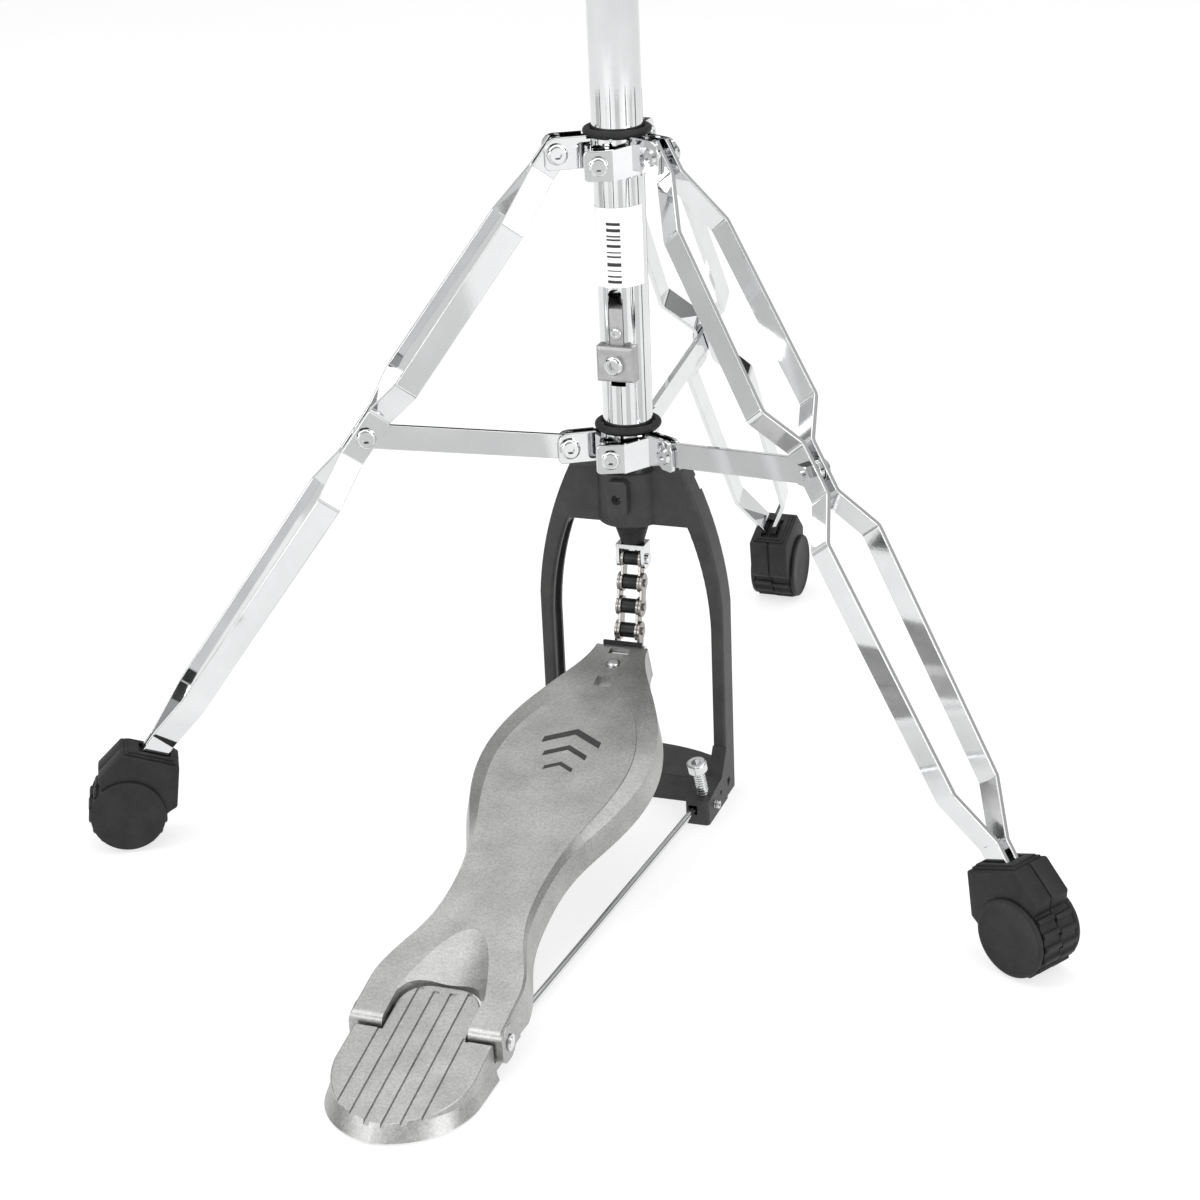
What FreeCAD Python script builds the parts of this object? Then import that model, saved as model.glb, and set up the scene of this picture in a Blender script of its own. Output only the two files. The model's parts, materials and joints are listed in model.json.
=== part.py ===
import FreeCAD, Part
import math
import os

# Hi-hat stand with a three-leg double-braced base, millimetres, +Z up.
# The origin is on the floor under the centre of the stand tube.
# The pedal lies along -Y, the legs stand at 90, 210 and 330 degrees about +Z.

V = FreeCAD.Vector
PARTS = "parts"

# stand tube
TUBE_R = 12.7
TUBE_BORE = 11.2
TUBE_FOOT = 155.0
TUBE_TOP = 515.0

# leg linkage, radius from the axis and height
LEG_AZ = {"back": 90.0, "left": 210.0, "right": 330.0}
HINGE_R = 31.1
UPPER_Z = 344.4
LOWER_Z = 193.2
ELBOW_R = 133.7
ELBOW_Z = 209.3
BAR_W = 12.7
STRAP_T = 2.5
STRUT_T = 3.0
PINCH_U = 3.05

# rubber foot
WHEEL_R = 20.4
WHEEL_POS_R = 271.5
FOOT_HALF = 14.0

# pedal
HINGE_Y = -283.0
HINGE_Z = 14.5
PIN_R = 2.5
NOSE_Y = -22.0
TOP_SLOPE = 0.247
TOP_Z0 = 24.0
TOP_Y0 = -284.0
SKIRT = 15.0

# roller chain, half inch pitch
PITCH = 12.7
YOKE_Z = 129.0
CHAIN_LEAN = 15.0
ROLLER_R = 3.96
ROLLER_HALF = 3.9
PLATE_T = 1.4
PLATE_R = 5.2

# tension block, its carrier and the slot of the tube
SLOT_LOW = 226.0
BLOCK_LOW = 229.3
BLOCK_TOP = 247.5
CLAMP_Z = 238.4
STOP_SCREW_Z = 253.4
CARRIER_LOW = 231.5

# rods and the parts above the base
ROD_R = 3.0
ROD_TOP = 965.0
UPPER_R = 9.55
UPPER_BOTTOM = 450.0
UPPER_END = 760.0


def save(shape, name):
    shape.exportStep(PARTS + "/" + name + ".step")


def group(shapes):
    return Part.makeCompound(shapes)


def cyl(r, z0, z1, x=0.0, y=0.0):
    return Part.makeCylinder(r, z1 - z0, V(x, y, z0))


def rod(p, q, r):
    a = V(*p)
    d = V(*q) - a
    return Part.makeCylinder(r, d.Length, a, d)


def box(x0, x1, y0, y1, z0, z1):
    return Part.makeBox(x1 - x0, y1 - y0, z1 - z0, V(x0, y0, z0))


def turn(shape, deg, axis=V(0, 0, 1), about=V(0, 0, 0)):
    s = shape.copy()
    s.rotate(about, axis, deg)
    return s


def shift(shape, x=0.0, y=0.0, z=0.0):
    s = shape.copy()
    s.translate(V(x, y, z))
    return s


def mirror_x(shape):
    return shape.mirror(V(0, 0, 0), V(1, 0, 0))


def prism(points, direction):
    wire = Part.makePolygon([V(*p) for p in points] + [V(*points[0])])
    return Part.Face(wire).extrude(direction)


def clean(shape):
    s = shape.removeSplitter()
    if s.ShapeType == "Compound" and len(s.Solids) == 1:
        return s.Solids[0]
    return s


def hexagon(r, z0, z1):
    pts = [(r * math.cos(math.radians(60 * i)), r * math.sin(math.radians(60 * i)), z0)
           for i in range(6)]
    return prism(pts, V(0, 0, z1 - z0))


def hex_nut(r, z0, z1):
    """Hexagon with its outer corners chamfered."""
    disc = cyl(r, z0, z1)
    disc = disc.makeChamfer(r * 0.1, [e for e in disc.Edges if e.BoundBox.ZMin > z1 - 0.01])
    return hexagon(r, z0, z1).common(disc)


def round_all(shape, r, test):
    """Fillet the edges whose middle point passes the test."""
    edges = [e for e in shape.Edges if test(e.BoundBox.Center)]
    try:
        return shape.makeFillet(r, edges)
    except Exception:
        return shape


def soften(shape, r, test):
    """Fillet edge by edge, leaving out any edge that cannot take it."""
    edges = [e for e in shape.Edges if test(e)]
    try:
        return shape.makeFillet(r, edges)
    except Exception:
        pass
    for e in edges:
        mid = e.BoundBox.Center
        found = [f for f in shape.Edges if f.BoundBox.Center.distanceToPoint(mid) < 1e-4]
        try:
            rounded = shape.makeFillet(r, found[:1])
            shape = rounded if rounded.isValid() else shape
        except Exception:
            continue
    return shape


def pan_head(r, h):
    """A domed screw head standing on Z = 0 with a hex socket."""
    head = cyl(r, 0, h)
    top = [e for e in head.Edges if e.BoundBox.ZMin > h - 0.01 and e.BoundBox.ZMax > h - 0.01]
    head = head.makeFillet(h * 0.55, top)
    return head.cut(hexagon(r * 0.42, h * 0.45, h + 1))


def bolt(length, shank, head_r, head_h, nut_h):
    """A bolt along +Z: head below Z = 0, nut above Z = length."""
    head = turn(pan_head(head_r, head_h), 180, V(1, 0, 0))
    collar = Part.makeCone(head_r * 0.86, head_r * 0.7, nut_h, V(0, 0, length))
    body = head.fuse(cyl(shank, -0.5, length + 0.5)).fuse(collar)
    return clean(body.cut(cyl(head_r * 0.34, length + nut_h - 1.0, length + nut_h + 1)))


def along_u(shape, r, z, u0):
    """Lay a shape built on +Z along the +Y axis of a leg frame."""
    s = turn(shape, -90, V(1, 0, 0))
    return shift(s, r, u0, z)


def to_leg(shape, az):
    return turn(shape, az)


# ---------------------------------------------------------------- leg frame

def leg_direction():
    d = V(ELBOW_R - HINGE_R, 0, ELBOW_Z - UPPER_Z)
    d.normalize()
    return d


def lay_leg(shape):
    """Move (t, u, w) coordinates onto the leg in the X-Z plane."""
    d = leg_direction()
    n = V(-d.z, 0, d.x)
    m = FreeCAD.Matrix(d.x, 0, n.x, HINGE_R, 0, 1, 0, 0, d.z, 0, n.z, UPPER_Z, 0, 0, 0, 1)
    s = shape.copy()
    s.Placement = FreeCAD.Placement(m).multiply(s.Placement)
    return s


def ribbon(points, half, radius):
    """A flat strip that follows a polyline with rounded bends, seen from above."""
    sides = {1: [], -1: []}
    pts = [V(p[0], p[1], 0) for p in points]
    dirs = []
    for a, b in zip(pts[:-1], pts[1:]):
        d = b - a
        d.normalize()
        dirs.append(d)
    for s in (1, -1):
        path = sides[s]
        n0 = V(-dirs[0].y, dirs[0].x, 0)
        path.append((pts[0] + n0 * (s * half), None))
        for i in range(1, len(pts) - 1):
            a = dirs[i - 1]
            b = dirs[i]
            na = V(-a.y, a.x, 0)
            nb = V(-b.y, b.x, 0)
            bend = a.getAngle(b)
            left = 1 if a.cross(b).z > 0 else -1
            t = radius * math.tan(bend / 2)
            start = pts[i] - a * t
            end = pts[i] + b * t
            centre = start + na * (left * radius)
            mid = na + nb
            mid.normalize()
            arc_r = radius - s * left * half
            path.append((start + na * (s * half), None))
            path.append((end + nb * (s * half), centre - mid * (left * arc_r)))
        n1 = V(-dirs[-1].y, dirs[-1].x, 0)
        path.append((pts[-1] + n1 * (s * half), None))
    edges = []
    for s in (1, -1):
        path = sides[s]
        for (p, _), (q, m) in zip(path[:-1], path[1:]):
            if m is None:
                edges.append(Part.LineSegment(p, q).toShape())
            else:
                edges.append(Part.Arc(p, m, q).toShape())
    for k in (0, -1):
        edges.append(Part.LineSegment(sides[1][k][0], sides[-1][k][0]).toShape())
    return Part.Face(Part.Wire(Part.__sortEdges__(edges)))


def leg_strap(side):
    """One flat bar of a leg: pinched at the hub, at the strut and at the foot."""
    elbow = math.hypot(ELBOW_R - HINGE_R, UPPER_Z - ELBOW_Z)
    path = [(-8, PINCH_U), (12, PINCH_U), (41, 15.5), (136, 17.5), (156, PINCH_U),
            (183, PINCH_U), (205, 17.0), (334, 14.5), (362, PINCH_U), (383, PINCH_U)]
    bar = ribbon(path, STRAP_T / 2, 5.0).extrude(V(0, 0, BAR_W))
    bar = shift(bar, z=-BAR_W / 2)
    ends = group([box(0, 376.6, -30, 30, -7, 7)])
    ends = ends.fuse(turn(cyl(8.0, -30, 30), 90, V(1, 0, 0)))
    ends = ends.fuse(shift(turn(cyl(6.36, -30, 30), 90, V(1, 0, 0)), x=376.6))
    bar = bar.common(ends)
    for t, r in ((0, 3.0), (elbow, 2.6)):
        bar = bar.cut(shift(turn(cyl(r, -30, 30), 90, V(1, 0, 0)), x=t))
    bar = clean(bar)
    rim = BAR_W / 2
    bar = soften(bar, 0.45, lambda e: abs(abs(e.BoundBox.Center.z) - rim) < 0.01 and e.BoundBox.ZLength < 0.01)
    if side < 0:
        bar = bar.mirror(V(0, 0, 0), V(0, 1, 0))
    return lay_leg(bar)


def leg_strut():
    """Flat brace from the lower hub to the pinch of the leg."""
    a = V(HINGE_R, 0, LOWER_Z)
    b = V(ELBOW_R, 0, ELBOW_Z)
    length = (b - a).Length
    r = BAR_W / 2
    bar = box(0, length, -STRUT_T / 2, STRUT_T / 2, -r, r)
    for x in (0, length):
        bar = bar.fuse(shift(turn(cyl(r, -STRUT_T / 2, STRUT_T / 2), 90, V(1, 0, 0)), x=x))
    bar = bar.cut(turn(cyl(3.0, -9, 9), 90, V(1, 0, 0)))
    bar = bar.cut(shift(turn(cyl(3.2, -9, 9), 90, V(1, 0, 0)), x=length))
    slope = math.degrees(math.atan2(b.z - a.z, b.x - a.x))
    face = STRUT_T / 2
    bar = soften(clean(bar), 0.45,
                 lambda e: abs(abs(e.BoundBox.Center.y) - face) < 0.01 and e.BoundBox.YLength < 0.01)
    bar = turn(bar, -slope, V(0, 1, 0))
    return shift(bar, a.x, 0, a.z)


def elbow_bolt():
    """Head and nut of the strut bolt; the shank ends at the inner faces of the straps."""
    outer = PINCH_U + STRAP_T / 2 + 0.02
    inner = PINCH_U - STRAP_T / 2
    head = pan_head(5.2, 3.0).fuse(cyl(2.5, inner - outer, 0.5))
    nut = hex_nut(5.6, 0, 4.0).fuse(cyl(2.5, inner - outer, 5.2))
    head = along_u(clean(head), ELBOW_R, ELBOW_Z, outer)
    nut = shift(turn(clean(nut), 90, V(1, 0, 0)), ELBOW_R, -outer, ELBOW_Z)
    return group([head, nut])


def foot_half(side):
    """Half of the rubber foot: a block on the leg end and a round sole."""
    d = leg_direction()
    n = V(-d.z, 0, d.x)
    rel = V(WHEEL_POS_R - HINGE_R, 0, WHEEL_R - UPPER_Z)
    wt = rel.dot(d)
    ww = rel.dot(n)
    block = prism([(wt - 36, 0.03, ww - 8.5), (wt - 27, 0.03, ww + 20.5), (wt - 9, 0.03, ww + 23.7),
                   (wt - 6, 0.03, ww + 21), (wt, 0.03, ww + 10), (wt, 0.03, ww - 10),
                   (wt - 11.5, 0.03, ww - 18), (wt - 16, 0.03, ww - 19.6)],
                  V(0, FOOT_HALF - 2.03, 0))
    block = round_all(block, 2.0, lambda c: abs(c.y - FOOT_HALF / 2 + 0.985) < 0.02 and c.x < wt - 20)
    lip = prism([(wt - 37.2, 0.03, ww - 5.5), (wt - 29.8, 0.03, ww + 18.2), (wt - 26.9, 0.03, ww + 17.3),
                 (wt - 34.3, 0.03, ww - 6.4)], V(0, 8.5, 0))
    wheel = turn(cyl(WHEEL_R, -FOOT_HALF, -0.03), 90, V(1, 0, 0))
    wheel = shift(wheel, wt, 0, ww)
    rim = [e for e in wheel.Edges
           if abs(e.BoundBox.YMin - FOOT_HALF) < 0.01 and abs(e.BoundBox.YMax - FOOT_HALF) < 0.01]
    wheel = wheel.makeFillet(1.5, rim)
    half = block.fuse(wheel).fuse(lip)
    half = half.cut(box(355, 384, -1, PINCH_U + STRAP_T / 2 + 0.1, -6.5, 6.5))
    half = half.cut(box(355, 371.5, -1, 5.6, -6.9, 6.9))
    half = clean(half)
    if side < 0:
        half = half.mirror(V(0, 0, 0), V(0, 1, 0))
    return lay_leg(half)


def build_legs():
    for name, az in LEG_AZ.items():
        save(to_leg(leg_strap(1), az), "leg_" + name + "_strap_a")
        save(to_leg(leg_strap(-1), az), "leg_" + name + "_strap_b")
        save(to_leg(leg_strut(), az), "strut_" + name)
        save(to_leg(elbow_bolt(), az), "elbow_bolt_" + name)
        save(to_leg(group([foot_half(1), foot_half(-1)]), az), "foot_" + name)


# ---------------------------------------------------------------- hubs

def hub_ears(z, inner):
    """Two upright cheeks either side of a leg or strut, round above and square below."""
    ear = box(14.2, EAR_END, inner, inner + 2.0, z - 8, z + 8)
    ear = round_all(ear, 6.0, lambda c: abs(c.x - EAR_END) < 0.1 and abs(c.z - z - 8) < 0.1)
    ear = round_all(ear, 2.2, lambda c: abs(c.x - EAR_END) < 0.1 and abs(c.z - z + 8) < 0.1)
    ear = soften(ear, 0.5, lambda e: e.BoundBox.YLength < 0.01 and e.BoundBox.YMin > inner + 1.9)
    hole = shift(turn(cyl(2.95, -9, 9), 90, V(1, 0, 0)), HINGE_R, 0, z)
    ear = ear.cut(hole)
    return [ear, ear.mirror(V(0, 0, 0), V(0, 1, 0))]


CLAMP_AZ = 20.0
EAR_END = 37.0
TAB_Y = -20.4


def clamp_tab(z0, z1):
    """Folded front tab, the web that ties it to an ear, and the rear tab it is bolted to."""
    front = box(-16.8, -2.6, TAB_Y, TAB_Y + 2.0, z0, z1)
    front = round_all(front, 2.4,
                      lambda c: abs(c.x + 16.8) < 0.1 and (abs(c.z - z0) < 0.1 or abs(c.z - z1) < 0.1))
    front = soften(front, 0.5, lambda e: e.BoundBox.YLength < 0.01 and e.BoundBox.YMin < TAB_Y + 0.01)
    web = prism([(-2.7, TAB_Y, z0), (10.2, TAB_Y + 3.1, z0 + 2.4),
                 (10.2, TAB_Y + 3.1, z1 + 2.4), (-2.7, TAB_Y, z1)],
                V(0, 2.0, 0))
    fold = cyl(1.0, z0 + 2.4, z1 + 2.4, 10.2, TAB_Y + 4.1)
    tie = box(5.0, 10.4, -15.4, -9.0, z0 + 2.4, z1 + 2.4)
    rear = ribbon([(-13.4, -7.0), (-14.2, -14.6), (-4.6, -14.6)], 0.9, 2.0).extrude(V(0, 0, z1 - z0))
    tab = [front, web, fold, tie, shift(rear, z=z0)]
    return [turn(t, CLAMP_AZ) for t in tab]


def clamp_bolt(z):
    """Short bolt that pulls the front tab to the threaded rear tab."""
    b = turn(pan_head(4.8, 2.8), 180, V(1, 0, 0)).fuse(cyl(2.4, -0.5, 7.0))
    b = turn(clean(b), -90, V(1, 0, 0))
    b = shift(b, -9.6, TAB_Y - 0.05, z)
    return turn(b, CLAMP_AZ)


def hub(z, z0, z1, inner, tab0, tab1):
    """Collar round the tube with three pairs of ears and a bolted tab."""
    ring = cyl(15.2, z0, z1)
    ears = []
    for az in LEG_AZ.values():
        ears += [to_leg(e, az) for e in hub_ears(z, inner)]
    body = ring.multiFuse(ears + clamp_tab(tab0, tab1))
    body = body.cut(cyl(TUBE_R + 0.08, z0 - 20, z1 + 20))
    body = body.cut(cyl(17.7, z1, z1 + 20))
    split = turn(box(-4.2, -2.6, -16.2, -8, z0 - 1, z1 + 1), CLAMP_AZ)
    body = body.cut(split)
    hole = turn(shift(turn(cyl(2.5, -40, 40), 90, V(1, 0, 0)), -9.6, 0, (tab0 + tab1) / 2), CLAMP_AZ)
    body = body.cut(hole.common(turn(box(-15, -4, -30, -10, z0 - 9, z1 + 9), CLAMP_AZ)))
    body = clean(body)
    return max(body.Solids, key=lambda s: s.Volume)


def hub_bolts(z, inner, tab_z):
    """Three hinge bolts and the clamp bolt."""
    out = inner + 2.02
    bolts = []
    for az in LEG_AZ.values():
        b = bolt(2 * out, 2.9, 5.2, 3.0, 1.6)
        b = turn(b, 90, V(1, 0, 0))
        b = shift(b, HINGE_R, out, z)
        bolts.append(to_leg(b, az))
    bolts.append(clamp_bolt(tab_z))
    return group(bolts)


def o_ring(z):
    return Part.makeTorus(15.15, 1.9, V(0, 0, z))


def build_hubs():
    low = STRUT_T / 2 + 0.2
    up = PINCH_U + STRAP_T / 2 + 0.2
    save(hub(LOWER_Z, 183.5, 200.5, low, 182.6, 197.8), "lower_hub")
    save(hub_bolts(LOWER_Z, low, 190.2), "lower_hub_bolts")
    save(o_ring(203.0), "o_ring_lower")
    save(hub(UPPER_Z, 332.0, 350.8, up, 332.0, 347.0), "upper_hub")
    save(hub_bolts(UPPER_Z, up, 339.5), "upper_hub_bolts")
    save(o_ring(353.2), "o_ring_upper")


# ---------------------------------------------------------------- pedal frame

ARCH_TOP = 180.5
OPENING_TOP = 151.5
ARCH_DEPTH = 16.0
ARCH_SCREW_Y = -4.0


def arch_face(foot, low, mid, corner, top):
    """Half of an arch profile in X-Z: straight leg, bowed shoulder, level top."""
    pts = [V(foot, 0, low), V(foot, 0, mid[1] - 26), V(mid[0], 0, mid[1]),
           V(corner, 0, top), V(0, 0, top), V(0, 0, low)]
    edges = [Part.LineSegment(pts[0], pts[1]), Part.Arc(pts[1], pts[2], pts[3]),
             Part.LineSegment(pts[3], pts[4]),
             Part.LineSegment(pts[4], pts[5]), Part.LineSegment(pts[5], pts[0])]
    return Part.Face(Part.Wire([g.toShape() for g in edges]))


def arch_solid(face, depth):
    half = shift(face, y=-depth / 2).extrude(V(0, depth, 0))
    return clean(half.fuse(mirror_x(half)))


def arch_legs():
    """Bowed casting with rounded edges and a channel along the inside of each leg."""
    outer = arch_face(50.3, 0.3, (46.6, 134.0), 30.5, ARCH_TOP)
    inner = arch_face(43.5, -5.0, (40.6, 122.0), 32.0, OPENING_TOP)
    channel = arch_face(45.6, 22.0, (42.8, 123.5), 33.5, OPENING_TOP + 2)
    body = arch_solid(outer, ARCH_DEPTH).cut(arch_solid(inner, 40.0))
    face = ARCH_DEPTH / 2
    body = soften(clean(body), 1.6, lambda e: abs(abs(e.BoundBox.Center.y) - face) < 0.01
                  and e.BoundBox.YLength < 0.01
                  and e.BoundBox.ZMax > 1.0 and e.BoundBox.XLength < 60)
    body = body.cut(arch_solid(channel, 9.0).common(box(-60, 60, -10, 10, 22, 147)))
    return clean(body)


def pedal_frame():
    """Cast arch with a round boss that grips the stand tube."""
    boss = cyl(17.0, OPENING_TOP, ARCH_TOP)
    boss = boss.makeFillet(1.2, [e for e in boss.Edges if e.BoundBox.ZLength < 0.01])
    pad = box(-5.5, 5.5, -22.2, -12, 159.5, 178.5)
    pad = round_all(pad, 3.0, lambda c: abs(abs(c.x) - 5.5) < 0.1 and abs(c.y + 17.1) < 0.1)
    pad = soften(pad, 0.8, lambda e: e.BoundBox.YMax < -22.1)
    body = arch_legs().multiFuse([boss, pad])
    for side in (1, -1):
        web = box(22, 36, 4.5, 12, 156, 175)
        body = body.cut(web if side > 0 else mirror_x(web))
        hole = rod((40, ARCH_SCREW_Y, 8), (55, ARCH_SCREW_Y, 8), 2.6)
        body = body.cut(hole if side > 0 else mirror_x(hole))
    body = body.cut(cyl(TUBE_R + 0.05, TUBE_FOOT, 190))
    body = body.cut(cyl(7.0, 140, 160))
    body = body.cut(rod((0, -30, 168.8), (0, -8, 168.8), 2.6))
    return clean(body)


def base_plate():
    """Cast foot plate with two arms that hold the spurs and the radius rods."""
    edge = [Part.LineSegment(V(-43.3, -17.5, 0), V(43.3, -17.5, 0)),
            Part.LineSegment(V(43.3, -17.5, 0), V(43.3, 8, 0)),
            Part.LineSegment(V(43.3, 8, 0), V(30, 13.5, 0)),
            Part.Arc(V(30, 13.5, 0), V(0, 18.5, 0), V(-30, 13.5, 0)),
            Part.LineSegment(V(-30, 13.5, 0), V(-43.3, 8, 0)),
            Part.LineSegment(V(-43.3, 8, 0), V(-43.3, -17.5, 0))]
    plate = Part.Face(Part.Wire([g.toShape() for g in edge])).extrude(V(0, 0, 14.8))
    arm = prism([(38.7, -41, 0), (38.7, -41, 13.5), (38.7, -32, 14.8),
                 (38.7, -17.5, 16.5), (38.7, -8.2, 30), (38.7, -8.2, 0)],
                V(12.3, 0, 0))
    arm = arm.cut(box(30, 43.4, -17.4, 0, 14.8, 40))
    arm = round_all(arm, 2.0, lambda c: abs(c.y + 41) < 0.1 and abs(c.x - 51.0) < 0.1)
    body = clean(plate.multiFuse([arm, mirror_x(arm)]))
    body = soften(body, 0.8, lambda e: e.BoundBox.ZMin > 14.7 and e.BoundBox.ZMax < 14.9
                  and abs(e.BoundBox.Center.x) < 38)
    for side in (1, -1):
        lock_y = spur_point(8.0)[1]
        cuts = [box(39.9, 44.7, -42, -34.6, 5.4, 10.6), spur_hole(),
                rod((47.0, -19.5, 9), (55, -19.5, 9), 1.3),
                rod((38, ARCH_SCREW_Y, 8), (55, ARCH_SCREW_Y, 8), 2.6),
                rod((47, lock_y, 8), (55, lock_y, 8), 2.1)]
        for c in cuts:
            body = body.cut(c if side > 0 else mirror_x(c))
    return clean(body)


SPUR_BASE = (47.2, -29.3, -0.6)
SPUR_DIR = (-0.10, -0.24, 1.0)


def spur_point(z):
    k = z - SPUR_BASE[2]
    return tuple(SPUR_BASE[i] + SPUR_DIR[i] * k for i in range(3))


def spur_hole():
    return rod(spur_point(-6), spur_point(30), 3.2)


def spur():
    """Socket-head spur screw with a turned point and thread grooves."""
    length = 30.6
    shank = cyl(3.1, 5.0, length)
    tip = Part.makeCone(0.8, 3.1, 3.6, V(0, 0, 1.4))
    head = cyl(5.2, length, length + 5.4)
    head = head.makeFillet(1.0, [e for e in head.Edges if e.BoundBox.ZMin > length + 5.3])
    head = head.makeFillet(0.8, [e for e in head.Edges if e.BoundBox.ZMax < length + 0.1])
    head = head.cut(hexagon(2.9, length + 2.2, length + 9))
    body = shank.multiFuse([tip, head])
    for i in range(10):
        z = 14.6 + 1.5 * i
        body = body.cut(cyl(4, z, z + 0.7).cut(cyl(2.55, z - 1, z + 1)))
    body = clean(body)
    d = V(*SPUR_DIR)
    body.Placement = FreeCAD.Placement(V(*SPUR_BASE), FreeCAD.Rotation(V(0, 0, 1), d))
    return body


def frame_screws():
    """Sunk screws between arch and plate, set screws on the spurs and the screw that holds the tube."""
    shapes = []
    lock_y = spur_point(8.0)[1]
    for side in (1, -1):
        a = rod((41, ARCH_SCREW_Y, 8), (49.8, ARCH_SCREW_Y, 8), 2.5)
        a = a.cut(rod((47.6, ARCH_SCREW_Y, 8), (52, ARCH_SCREW_Y, 8), 1.5))
        b = rod((49.7, lock_y, 8), (54.0, lock_y, 8), 2.0).cut(rod((52.4, lock_y, 8), (56, lock_y, 8), 1.0))
        for x in (51.6, 52.6):
            ring = rod((x, lock_y, 8), (x + 0.5, lock_y, 8), 3.0)
            b = b.cut(ring.cut(rod((x - 1, lock_y, 8), (x + 2, lock_y, 8), 1.6)))
        for s in (a, b):
            s = clean(s.fuse(s))
            shapes.append(s if side > 0 else mirror_x(s))
    socket = rod((0, -18, 168.8), (0, -15, 168.8), 1.3)
    shapes.append(rod((0, -17.0, 168.8), (0, -12.75, 168.8), 2.5).cut(socket))
    return group(shapes)


RADIUS_ROD_R = 1.8


def radius_rod():
    """Wire rod from the base arm to the front edge of the heel plate."""
    pts = [V(42.3, -35.0, 8), V(42.3, -46.0, 8), V(27.0, -254.0, 5.2), V(27.0, -270.0, 5.2)]
    path = Part.makePolygon(pts)
    ring = Part.Wire(Part.makeCircle(RADIUS_ROD_R, pts[0], V(0, -1, 0)))
    return path.makePipeShell([ring], True, True, 2)


def bump_stop():
    """Rubber cone under the frame head."""
    cone = Part.makeCone(6.0, 8.5, 8.1, V(0, 0, 138.4))
    rim = Part.makeCone(8.5, 9.0, 5.0, V(0, 0, 146.5))
    body = cone.multiFuse([rim, cyl(6.9, 151.0, 154.8)]).cut(cyl(4.2, 130, 160))
    return clean(body)


def lower_tube():
    """Stand tube with the slot of the spring carrier."""
    body = cyl(TUBE_R, TUBE_FOOT, TUBE_TOP).cut(cyl(TUBE_BORE, TUBE_FOOT + 3, TUBE_TOP + 1))
    body = body.cut(cyl(4.5, TUBE_FOOT - 1, TUBE_FOOT + 5))
    slot = box(-3.9, 3.9, -20, 0, SLOT_LOW, 272.1)
    slot = slot.fuse(shift(turn(cyl(3.9, 0, 20), 90, V(1, 0, 0)), z=272.1))
    return clean(body.cut(slot))


def build_frame():
    save(pedal_frame(), "pedal_frame")
    save(base_plate(), "base_plate")
    save(frame_screws(), "frame_screws")
    save(spur(), "spur_right")
    save(mirror_x(spur()), "spur_left")
    save(radius_rod(), "radius_rod_right")
    save(mirror_x(radius_rod()), "radius_rod_left")
    save(bump_stop(), "bump_stop")
    save(lower_tube(), "lower_tube")


# ---------------------------------------------------------------- heel plate and footboard

def heel_top(y):
    return 7.0 + (y + 345.0) * 0.222


HEEL_FRONT = -293.0
GROOVE_PITCH = 8.0


def heel_outline(w, end, z):
    """D-shaped plan of the heel plate behind the hinge."""
    side = V(w, -314, z)
    mid = V(0.614 * w, end + 0.234 * (-314 - end), z)
    tip = V(0, end, z)
    front = V(w, HEEL_FRONT, z)
    flip = [V(-p.x, p.y, p.z) for p in (side, mid, front)]
    edges = [Part.LineSegment(flip[2], front), Part.LineSegment(front, side), Part.Arc(side, mid, tip),
             Part.Arc(tip, flip[1], flip[0]), Part.LineSegment(flip[0], flip[2])]
    return Part.Wire([e.toShape() for e in edges])


def heel_plate():
    """Sloping cast plate with a bevelled rim, grooves, a hinge tongue and a low front foot."""
    body = Part.makeLoft([heel_outline(35.0, -352.5, 1), heel_outline(33.2, -345.5, 7.3),
                          heel_outline(32.6, -344.0, 23)],
                         True, True)
    tongue = box(-19.6, 19.6, -294, -264.0, 1, 30)
    tongue = round_all(tongue, 13.5, lambda c: abs(c.y + 264.0) < 0.1 and abs(abs(c.x) - 19.6) < 0.1)
    foot = box(-31, 31, -294, -273, 1, 5.5).fuse(box(-31, 31, -273, -258, 1, 9.0))
    body = body.multiFuse([tongue, foot])
    top = prism([(-60, -400, heel_top(-400)), (-60, -200, heel_top(-200)), (-60, -200, 90), (-60, -400, 90)],
                V(120, 0, 0))
    body = clean(body.cut(top))
    body = soften(body, 0.7, lambda e: abs(e.BoundBox.Center.z - heel_top(e.BoundBox.Center.y)) < 0.8
                  and e.BoundBox.ZMax > 6)
    for i in range(6):
        x = GROOVE_PITCH * (i - 2.5)
        y1 = -267.5 + 0.011 * x * x if abs(x) < 15 else HEEL_FRONT + 1.0
        body = body.cut(groove(x, -349.0, y1))
    body = body.cut(rod((-40, HINGE_Y, HINGE_Z), (40, HINGE_Y, HINGE_Z), PIN_R + 0.05))
    for x in (27.0, -27.0):
        body = body.cut(rod((x, -270.2, 5.2), (x, -250, 5.2), RADIUS_ROD_R + 0.05))
    for s in pad_shapes(0.05):
        body = body.cut(s)
    return clean(body)


def groove(x, y0, y1):
    """Trapezoid groove cut 1.1 mm below the sloping top."""
    floor = [V(x + u, y0, heel_top(y0) - w) for u, w in ((-1.2, 1.0), (1.2, 1.0), (2.2, -1.4), (-2.2, -1.4))]
    wire = Part.makePolygon(floor + [floor[0]])
    return Part.Face(wire).extrude(V(0, y1 - y0, heel_top(y1) - heel_top(y0)))


def pad_shapes(grow):
    """Rubber strips under the heel plate."""
    return [box(-24 - grow, 24 + grow, -338 - grow, -328 + grow, -grow, 2.2 + grow),
            box(-28 - grow, 28 + grow, -306 - grow, -296 + grow, -grow, 2.2 + grow)]


def top_z(y):
    return TOP_Z0 + (y - TOP_Y0) * TOP_SLOPE


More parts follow.
